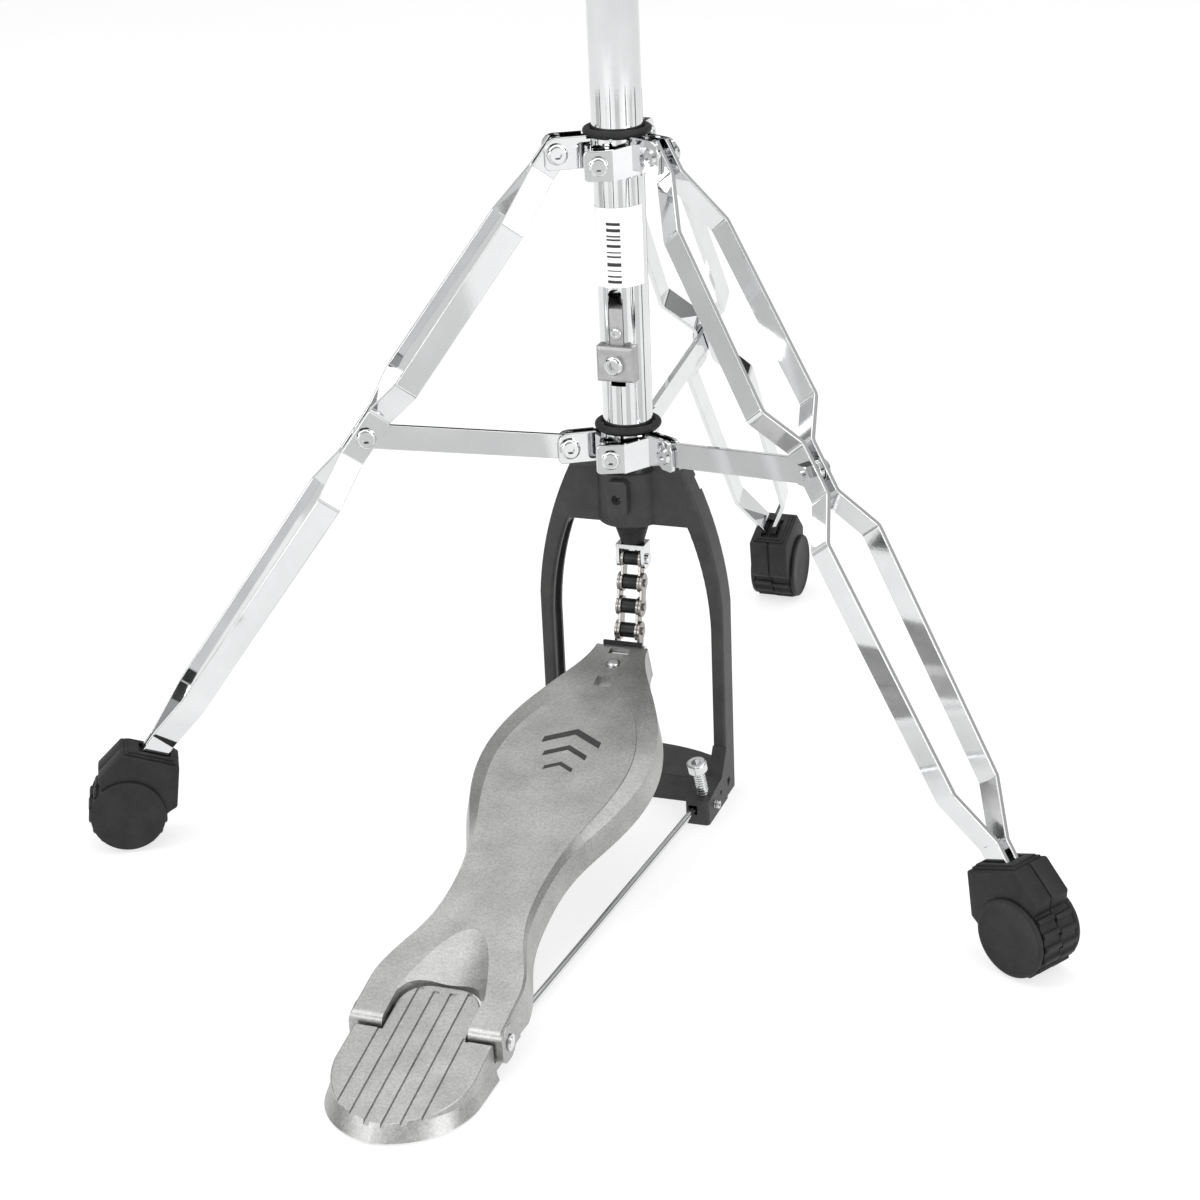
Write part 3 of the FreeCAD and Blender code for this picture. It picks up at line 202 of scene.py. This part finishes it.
mats = {
    "chrome": metal_mat(
        "chrome_plate", dark=(0.67, 0.675, 0.68), light=(0.74, 0.745, 0.75),
        rough=(0.03, 0.07), grain=900.0, scale=35.0, bump=0.02, distance=0.0002),
    "cast_aluminium": cast_mat(
        "cast_aluminium", dark=(0.36, 0.36, 0.355), light=(0.46, 0.46, 0.455),
        speckle=0.2, rough=(0.3, 0.46), grain=900.0, scale=60.0, bump=0.3, distance=0.00025),
    "black_casting": dull_mat(
        "black_casting", dark=(0.016, 0.016, 0.016), light=(0.032, 0.032, 0.031),
        rough=(0.42, 0.6), grain=1500.0, scale=80.0, bump=0.35, distance=0.0003),
    "black_rubber": dull_mat(
        "black_rubber", dark=(0.006, 0.006, 0.006), light=(0.016, 0.016, 0.016),
        rough=(0.5, 0.68), grain=1100.0, scale=90.0, bump=0.25, distance=0.0002, specular=0.36),
    "steel_dark": metal_mat(
        "chain_steel", dark=(0.22, 0.21, 0.2), light=(0.42, 0.4, 0.38),
        rough=(0.2, 0.36), grain=1400.0, scale=160.0, bump=0.1, distance=0.0002),
    "roller_black": dull_mat(
        "chain_roller", dark=(0.01, 0.01, 0.01), light=(0.03, 0.03, 0.03),
        rough=(0.3, 0.45), grain=1400.0, scale=150.0, bump=0.1, distance=0.0002, metallic=0.6),
    "grey_casting": metal_mat(
        "grey_casting", dark=(0.36, 0.36, 0.36), light=(0.5, 0.5, 0.5),
        rough=(0.38, 0.5), grain=1500.0, scale=120.0, bump=0.2, distance=0.0002),
    "grey_plastic": dull_mat(
        "grey_plastic", dark=(0.36, 0.36, 0.36), light=(0.44, 0.44, 0.44),
        rough=(0.4, 0.5), grain=1500.0, scale=120.0, bump=0.1, distance=0.0001),
    "spring_steel": metal_mat(
        "spring_steel", dark=(0.36, 0.36, 0.36), light=(0.48, 0.48, 0.48),
        rough=(0.2, 0.3), grain=900.0, scale=120.0, bump=0.05, distance=0.0001),
    "felt": dull_mat(
        "felt", dark=(0.1, 0.1, 0.105), light=(0.22, 0.22, 0.225),
        rough=(0.9, 1.0), grain=900.0, scale=300.0, bump=1.0, distance=0.001),
    "white_paper": dull_mat(
        "white_paper", dark=(0.93, 0.93, 0.93), light=(0.96, 0.96, 0.96),
        rough=(0.5, 0.6), grain=1500.0, scale=90.0, bump=0.05, distance=0.0001),
    "black_nylon": dull_mat(
        "black_nylon", dark=(0.02, 0.02, 0.02), light=(0.035, 0.035, 0.035),
        rough=(0.4, 0.5), grain=1200.0, scale=90.0, bump=0.1, distance=0.0001),
}


def paint(obj, mat):
    obj.data.materials.clear()
    obj.data.materials.append(mat)


for part in frame["record"]["subparts"]:
    paint(nodes[part["node"]], mats[part["material_slot"]])


# ------------------------------------------------------------ rubber feet

WHEEL_R = 0.0204
LEG_DOWN = 0.796
LEG_OUT = 0.605
LEG_TURN = {"back": 90.0, "left": 210.0, "right": 330.0}
RIBS = 18


def foot_place(name):
    """Wheel centre and the three axes of one foot: along the leg, away from it, and across."""
    box_low, box_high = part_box("foot_back")
    reach = box_high[1] - WHEEL_R
    turn = math.radians(LEG_TURN[name])
    out = Vector((math.cos(turn), math.sin(turn), 0.0))
    across = Vector((-math.sin(turn), math.cos(turn), 0.0))
    up = Vector((0.0, 0.0, 1.0))
    centre = out * reach + up * (box_low[2] + WHEEL_R)
    return centre, out * LEG_OUT - up * LEG_DOWN, out * LEG_DOWN + up * LEG_OUT, across


def prism(bm, place, outline, u0, u1, round_by=0.0):
    """Closed prism across the foot, with its edges rounded."""
    centre, along, away, across = place
    rings = []
    for u in (u0, u1):
        points = [centre + (along * s + away * v + across * u) * MM for s, v in outline]
        rings.append([bm.verts.new(point) for point in points])
    count = len(outline)
    faces = [bm.faces.new(rings[0][::-1]), bm.faces.new(rings[1])]
    for i in range(count):
        j = (i + 1) % count
        faces.append(bm.faces.new((rings[0][i], rings[0][j], rings[1][j], rings[1][i])))
    if round_by:
        edges = {e for f in faces for e in f.edges}
        bmesh.ops.bevel(bm, geom=list(edges), offset=round_by * MM, segments=3, profile=0.5, affect="EDGES")


def tread_outline(phase, outer, inner):
    """Gear-like ring of flat ribs with narrow gaps."""
    pts = []
    step = 2 * math.pi / RIBS
    for i in range(RIBS):
        a = (i + phase) * step
        for k, r in ((0.00, inner), (0.14, inner), (0.27, inner), (0.34, outer),
                     (0.50, outer + 0.15), (0.66, outer), (0.73, inner), (0.87, inner)):
            pts.append((r * math.cos(a + k * step), r * math.sin(a + k * step)))
    return pts


def disc(bm, place, side):
    """Round cheek of the wheel, proud of the block, with a rounded rim and a shallow dish."""
    centre, along, away, across = place
    profile = ((10.9, 17.2), (11.3, 18.6), (12.0, 19.15), (12.9, 19.25), (13.6, 18.95),
               (13.95, 18.2), (13.95, 17.3), (13.75, 16.9), (13.75, 6.0))
    count = 72
    rings = []
    for u, r in profile:
        ring = []
        for i in range(count):
            a = 2 * math.pi * i / count
            ring.append(bm.verts.new(centre + along * (r * MM * math.cos(a)) + away * (r * MM * math.sin(a))
                                     + across * (side * u * MM)))
        rings.append(ring)
    for ra, rb in zip(rings, rings[1:]):
        for i in range(count):
            j = (i + 1) % count
            quad = (ra[i], ra[j], rb[j], rb[i])
            bm.faces.new(quad if side < 0 else quad[::-1])
    bm.faces.new(rings[-1] if side > 0 else rings[-1][::-1])
    bm.faces.new(rings[0][::-1] if side > 0 else rings[0])


def lid(bm, place, inset, rise0, rise1, half, hole):
    """Collar on the slanted top of the block, with an opening for the two straps."""
    centre, along, away, across = place
    a = Vector((-36.0, -8.5))
    e = Vector((9.0, 29.0)).normalized()
    n = Vector((-e[1], e[0]))
    run0, run1 = 2.0 + inset, 28.4 - inset
    mouth0, mouth1 = 5.6 - hole, 20.9 + hole
    outer = ((run0, -half), (run1, -half), (run1, half), (run0, half))
    inner = ((mouth0, -4.7 - hole), (mouth1, -4.7 - hole), (mouth1, 4.7 + hole), (mouth0, 4.7 + hole))

    def at(q, rise):
        p = a + e * q[0] + n * rise
        return bm.verts.new(centre + along * (p[0] * MM) + away * (p[1] * MM) + across * (q[1] * MM))

    levels = [[at(q, rise) for q in loop] for rise in (rise0, rise1) for loop in (outer, inner)]
    o0, i0, o1, i1 = levels
    faces = []
    for k in range(4):
        m = (k + 1) % 4
        for quad in ((o0[k], o0[m], o1[m], o1[k]), (i1[k], i1[m], i0[m], i0[k]),
                     (o1[k], o1[m], i1[m], i1[k]), (i0[k], i0[m], o0[m], o0[k])):
            faces.append(bm.faces.new(quad))
    edges = {g for f in faces for g in f.edges}
    bmesh.ops.bevel(bm, geom=list(edges), offset=0.3 * MM, segments=2, profile=0.5, affect="EDGES")


def make_piece(name, bm, mat, sharp=35.0):
    """Turns a finished bmesh into an object with smooth faces and crisp edges."""
    bmesh.ops.recalc_face_normals(bm, faces=bm.faces)
    mesh = bpy.data.meshes.new(name)
    limit = math.radians(sharp)
    for f in bm.faces:
        f.smooth = True
    for e in bm.edges:
        e.smooth = e.is_manifold and e.calc_face_angle(0.0) < limit
    bm.to_mesh(mesh)
    bm.free()
    piece = bpy.data.objects.new(name, mesh)
    bpy.context.scene.collection.objects.link(piece)
    paint(piece, mat)
    return piece


# block around the strap ends: distance along the leg and away from it, from the wheel's centre, in mm
BLOCK = ((-36.0, -8.5), (-27.0, 20.5), (-9.0, 23.7), (-5.0, 19.0),
         (4.0, 6.0), (2.0, -10.0), (-11.0, -17.0), (-16.0, -19.6))
BLOCK_HALF = 11.6
SEAM_HALF = 0.22
BLOCK_ROUND = 1.3
TREAD_R = 20.2
GAP_R = 18.75
TREAD_HALF = 10.7
TREAD_SPLIT = 0.3
TREAD_ROUND = 0.22
TREAD_SHIFT = 0.22
CORE_R = 18.2
CORE_HALF = 12.0


def foot(name):
    """One foot: split block, core, two staggered treads, wheel core, two cheeks and a two-step collar."""
    place = foot_place(name)
    bm = bmesh.new()
    prism(bm, place, BLOCK, SEAM_HALF, BLOCK_HALF, BLOCK_ROUND)
    prism(bm, place, BLOCK, -BLOCK_HALF, -SEAM_HALF, BLOCK_ROUND)
    core = [(s * 0.94 - 0.8, v * 0.94 + 0.2) for s, v in BLOCK]
    prism(bm, place, core, -10.9, 10.9)
    prism(bm, place, tread_outline(0.0, TREAD_R, GAP_R), TREAD_SPLIT, TREAD_HALF, TREAD_ROUND)
    prism(bm, place, tread_outline(TREAD_SHIFT, TREAD_R, GAP_R), -TREAD_HALF, -TREAD_SPLIT, TREAD_ROUND)
    turns = [math.pi * i / 24 for i in range(48)]
    prism(bm, place, [(CORE_R * math.cos(a), CORE_R * math.sin(a)) for a in turns], -CORE_HALF, CORE_HALF)
    for side in (1, -1):
        disc(bm, place, side)
    lid(bm, place, 0.0, -0.4, 1.1, 9.4, 1.2)
    lid(bm, place, 1.4, 0.6, 2.0, 8.0, 0.6)
    piece = make_piece("rubber_foot_" + name, bm, mats["black_rubber"], 28.0)
    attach(piece, "leg_" + name)
    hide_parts("foot_" + name)


for leg in ("back", "left", "right"):
    foot(leg)


# ------------------------------------------------------------ plain black inlay on the footboard

BOARD_SLOPE = 0.247
NOSE_STEP = 0.0005
INLAY_Y = -0.090


def board_point(x, y, lift):
    """Point on the flat field of the footboard, lifted square to it."""
    box_low, box_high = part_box("footboard")
    z = box_high[2] + NOSE_STEP + (y - box_high[1]) * BOARD_SLOPE
    tilt = math.atan(BOARD_SLOPE)
    return Vector((x, y - lift * math.sin(tilt), z + lift * math.cos(tilt)))


def inlay():
    """Three nested chevrons, each a thin painted plate."""
    bm = bmesh.new()
    for i, (half, thick) in enumerate(((0.0150, 0.0042), (0.0112, 0.0034), (0.0074, 0.0026))):
        tip = INLAY_Y - 0.0125 * i
        fall = half * 0.55
        shape = ((0, tip), (half, tip - fall), (half, tip - fall - thick),
                 (0, tip - thick), (-half, tip - fall - thick), (-half, tip - fall))
        low_ring = [bm.verts.new(board_point(x, y, -0.0003)) for x, y in shape]
        high_ring = [bm.verts.new(board_point(x, y, 0.00012)) for x, y in shape]
        bm.faces.new((high_ring[0], high_ring[1], high_ring[2], high_ring[3]))
        bm.faces.new((high_ring[0], high_ring[3], high_ring[4], high_ring[5]))
        bm.faces.new((low_ring[3], low_ring[2], low_ring[1], low_ring[0]))
        bm.faces.new((low_ring[5], low_ring[4], low_ring[3], low_ring[0]))
        for k in range(6):
            m = (k + 1) % 6
            bm.faces.new((low_ring[k], low_ring[m], high_ring[m], high_ring[k]))
    piece = make_piece("footboard_inlay", bm, mats["black_casting"])
    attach(piece, "footboard")


inlay()


# ------------------------------------------------------------ blank label with plain rules

TUBE_R = 0.0127
SLOT_TOP = 0.276
LABEL_GAP = 0.00012
LABEL_TALL = 0.040
RULES_RISE = 0.0032
RULE_LIFT = 0.0001
RULE_UNIT = 0.0001
# thickness of each rule and of the gap above it, in tenths of a millimetre
RULES = ((14, 16), (8, 22), (5, 20), (18, 26), (9, 14), (6, 22),
         (14, 20), (9, 9), (8, 18), (16, 16), (14, 20))


def tube_patch(bm, angle0, angle1, z0, z1, lift, slant=0.0):
    """Thin curved sheet on the stand tube, a closed shell with its own thickness."""
    steps = max(2, int(abs(angle1 - angle0) / 6.0))
    grid = []
    for radius in (TUBE_R + lift, TUBE_R + lift + 0.00008):
        for z in (z0, z1):
            row = []
            for k in range(steps + 1):
                a = math.radians(angle0 + (angle1 - angle0) * k / steps)
                row.append(bm.verts.new((radius * math.cos(a), radius * math.sin(a), z + slant * k / steps)))
            grid.append(row)
    for k in range(steps):
        for p, q in ((0, 1), (1, 3), (3, 2), (2, 0)):
            bm.faces.new((grid[p][k], grid[p][k + 1], grid[q][k + 1], grid[q][k]))
    for k in (0, steps):
        bm.faces.new((grid[0][k], grid[1][k], grid[3][k], grid[2][k]))


def label():
    """White sticker above the slot with a block of plain rules and no text."""
    bm = bmesh.new()
    tube_patch(bm, -172.0, -14.0, SLOT_TOP, SLOT_TOP + LABEL_TALL, LABEL_GAP, 0.0016)
    sheet = make_piece("tube_label", bm, mats["white_paper"])
    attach(sheet, "base")
    bm = bmesh.new()
    z = SLOT_TOP + RULES_RISE
    for thick, gap in RULES:
        tube_patch(bm, -104.0, -72.0, z, z + thick * RULE_UNIT, LABEL_GAP + RULE_LIFT)
        z += (thick + gap) * RULE_UNIT
    rules = make_piece("tube_label_rules", bm, mats["black_casting"])
    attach(rules, "base")


label()


# ------------------------------------------------------------ return spring

COIL_R = 0.0076
WIRE_R = 0.0012
COIL_PITCH = 0.0084
COIL_TALL = 0.060
STEPS_PER_TURN = 28
WIRE_SIDES = 10


def coil():
    """Return spring inside the tube, rebuilt as a coil of round wire."""
    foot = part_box("return_spring")[0][2]
    turns = COIL_TALL / COIL_PITCH
    steps = int(turns * STEPS_PER_TURN)
    bm = bmesh.new()
    rings = []
    for k in range(steps + 1):
        a = 2 * math.pi * turns * k / steps
        out = Vector((math.cos(a), math.sin(a), 0))
        along = Vector((-COIL_R * math.sin(a), COIL_R * math.cos(a), COIL_PITCH / (2 * math.pi)))
        side = along.normalized().cross(out)
        centre = out * COIL_R + Vector((0, 0, foot + WIRE_R + COIL_TALL * k / steps))
        spokes = [2 * math.pi * i / WIRE_SIDES for i in range(WIRE_SIDES)]
        points = [centre + (out * math.cos(b) + side * math.sin(b)) * WIRE_R for b in spokes]
        rings.append([bm.verts.new(point) for point in points])
    for near, far in zip(rings, rings[1:]):
        for i in range(WIRE_SIDES):
            m = (i + 1) % WIRE_SIDES
            bm.faces.new((near[i], near[m], far[m], far[i]))
    bm.faces.new(rings[0])
    bm.faces.new(rings[-1])
    piece = make_piece("return_coil", bm, mats["spring_steel"], 60.0)
    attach(piece, "adjuster")
    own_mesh(piece)
    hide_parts("return_spring")


coil()


# ------------------------------------------------------------ floor, light and camera

FLOOR_HALF = 60.0
FLOOR_GLOW = 0.70
STRIP_NEAR = 0.36
STRIP_FAR = 1.9


def stage():
    mesh = bpy.data.meshes.new("floor")
    bm = bmesh.new()
    bmesh.ops.create_grid(bm, x_segments=2, y_segments=2, size=FLOOR_HALF)
    bm.to_mesh(mesh)
    bm.free()
    floor = bpy.data.objects.new("floor", mesh)
    bpy.context.scene.collection.objects.link(floor)
    floor.location = (0.0, 0.0, low[2] - 0.0002)
    n = Nodes("floor")
    n.values(roughness=0.75, specular=0.2)
    cloud = n.noise(2.0, 2.0, 0.5)
    tone = n.ramp(cloud, "Fac", [(0.3, (0.33, 0.33, 0.33)), (0.7, (0.35, 0.35, 0.35))])
    n.link(tone, "Color", n.bsdf, "Base Color")
    n.bsdf.inputs["Emission Color"].default_value = (1.0, 1.0, 1.0, 1.0)
    n.bsdf.inputs["Emission Strength"].default_value = FLOOR_GLOW
    paint(floor, n.mat)


def world():
    """Plain white studio with one dark band above the horizon for chrome to reflect."""
    w = bpy.data.worlds.new("studio")
    bpy.context.scene.world = w
    w.use_nodes = True
    t = w.node_tree
    t.nodes.clear()
    out = t.nodes.new("ShaderNodeOutputWorld")
    bg = t.nodes.new("ShaderNodeBackground")
    coord = t.nodes.new("ShaderNodeTexCoord")
    sep = t.nodes.new("ShaderNodeSeparateXYZ")
    ramp = t.nodes.new("ShaderNodeValToRGB")
    t.links.new(coord.outputs["Generated"], sep.inputs["Vector"])
    t.links.new(sep.outputs["Z"], ramp.inputs["Fac"])
    e = ramp.color_ramp.elements
    for position, value in ((0.0, 1.0), (0.17, 1.0), (0.20, 0.06), (0.30, 0.06), (0.42, 0.66), (1.0, 0.80)):
        stop = e[0] if position == 0.0 else e.new(position)
        stop.position = position
        stop.color = (value, value, value, 1)
    e.remove(e[len(e) - 1])
    t.links.new(ramp.outputs["Color"], bg.inputs["Color"])
    bg.inputs["Strength"].default_value = 0.75
    t.links.new(bg.outputs["Background"], out.inputs["Surface"])


def area(name, location, target, size, power):
    data = bpy.data.lights.new(name, "AREA")
    data.shape = "RECTANGLE"
    data.size, data.size_y = size
    data.energy = power
    o = bpy.data.objects.new(name, data)
    bpy.context.scene.collection.objects.link(o)
    o.location = location
    o.rotation_euler = (Vector(target) - Vector(location)).to_track_quat("-Z", "Y").to_euler()
    return o


def dark_strip(name, azimuth, half_angle, near, far, tone):
    """Wedge on the floor, darker than it, that shows only in what reflects it, as the lines down the tube."""
    mesh = bpy.data.meshes.new(name)
    bm = bmesh.new()
    corners = ((near, -half_angle), (far, -half_angle), (far, half_angle), (near, half_angle))
    points = []
    for reach, swing in corners:
        a = math.radians(azimuth + swing)
        points.append(bm.verts.new((reach * math.cos(a), reach * math.sin(a), low[2] + 0.0004)))
    bm.faces.new(points)
    bm.to_mesh(mesh)
    bm.free()
    o = bpy.data.objects.new(name, mesh)
    bpy.context.scene.collection.objects.link(o)
    n = Nodes(name)
    n.values(roughness=1.0, color=(tone, tone, tone), specular=0.0)
    paint(o, n.mat)
    o.visible_camera = False
    o.visible_shadow = False
    o.visible_diffuse = False
    o.visible_transmission = False


def camera():
    azimuth = math.radians(20.7058)
    pitch = math.radians(22.49)
    roll = math.radians(-2.50)
    right0 = Vector((math.cos(azimuth), math.sin(azimuth), 0))
    level = math.cos(pitch)
    ahead = Vector((-math.sin(azimuth) * level, math.cos(azimuth) * level, -math.sin(pitch)))
    up0 = right0.cross(ahead)
    right = right0 * math.cos(roll) + up0 * math.sin(roll)
    up = up0 * math.cos(roll) - right0 * math.sin(roll)
    data = bpy.data.cameras.new("camera")
    data.lens = 76.185
    data.sensor_width = 36.0
    data.sensor_fit = "HORIZONTAL"
    data.clip_start = 0.01
    data.clip_end = 60
    cam = bpy.data.objects.new("camera", data)
    bpy.context.scene.collection.objects.link(cam)
    m = Matrix((right, up, -ahead)).transposed().to_4x4()
    m.translation = Vector((0.41683, -1.15436, 0.61406))
    cam.matrix_world = m
    bpy.context.scene.camera = cam


stage()
world()
area("key", (-1.6, -1.2, 2.4), (0, 0, 0.2), (2.2, 2.2), 30)
area("fill", (1.9, -0.6, 1.8), (0, 0, 0.2), (1.8, 1.8), 15)
area("top", (0, 0.4, 3.0), (0, 0, 0), (3, 3), 30)
area("low_right", (1.7, -0.9, 0.55), (0, -0.1, 0.08), (1.0, 0.7), 9)
area("low_front", (-0.5, -2.0, 0.55), (0, -0.1, 0.08), (1.0, 0.6), 9)
# azimuth and half width in degrees, and grey tone, of each wedge
STRIPS = ((-162.0, 10.0, 0.55), (-147.0, 2.5, 0.10), (-112.0, 9.0, 0.60),
          (-97.0, 2.0, 0.12), (-66.0, 10.0, 0.60), (-28.0, 2.5, 0.12),
          (-8.0, 12.0, 0.60), (22.0, 3.0, 0.12), (100.0, 6.0, 0.12))
for i, (azimuth, half_angle, tone) in enumerate(STRIPS):
    dark_strip("dark_strip_%d" % i, azimuth, half_angle, STRIP_NEAR, STRIP_FAR, tone)
camera()
bpy.context.scene.view_settings.view_transform = "Standard"
